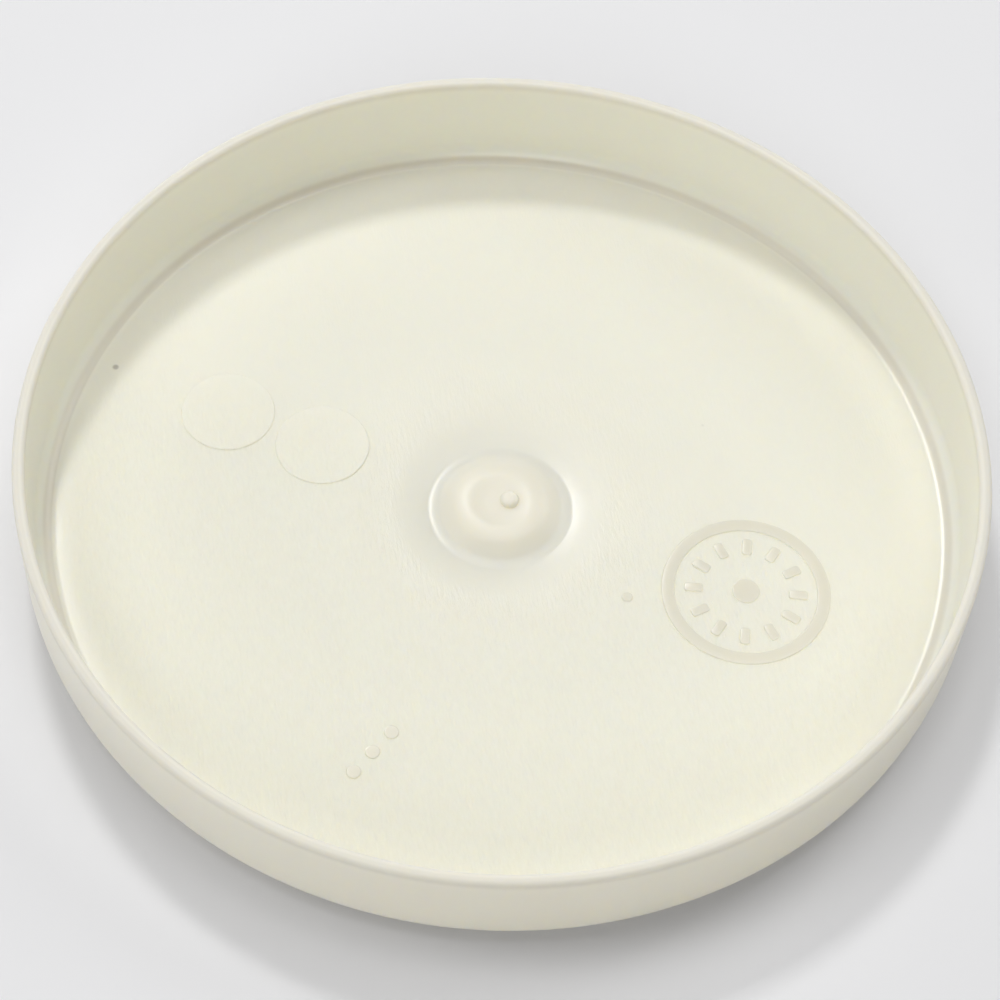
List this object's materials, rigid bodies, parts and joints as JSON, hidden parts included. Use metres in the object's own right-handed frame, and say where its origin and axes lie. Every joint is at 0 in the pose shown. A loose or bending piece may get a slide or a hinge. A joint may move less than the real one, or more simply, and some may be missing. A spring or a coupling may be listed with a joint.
{
  "type": "cheese mold follower dish",
  "caption": "Shallow round moulded dish in soft plastic, with a flat floor, a short upright wall, a central gate boss and low plain marks; rests in or on a small cheese mould.",
  "frame": {"origin": "centre of the flat underside, on the dish's axis", "axes": "+Z along the dish's axis, up out of its hollow; +Y away from the viewer and +X to the right, with the ring mark at +X"},
  "size_m": [0.065, 0.065, 0.0084],
  "materials": {
    "polyethylene": "satin natural polyethylene, cream, slightly translucent, faint fine grain on the floor"
  },
  "bodies": {
    "root": {"dish": "polyethylene"}
  },
  "joints": []
}
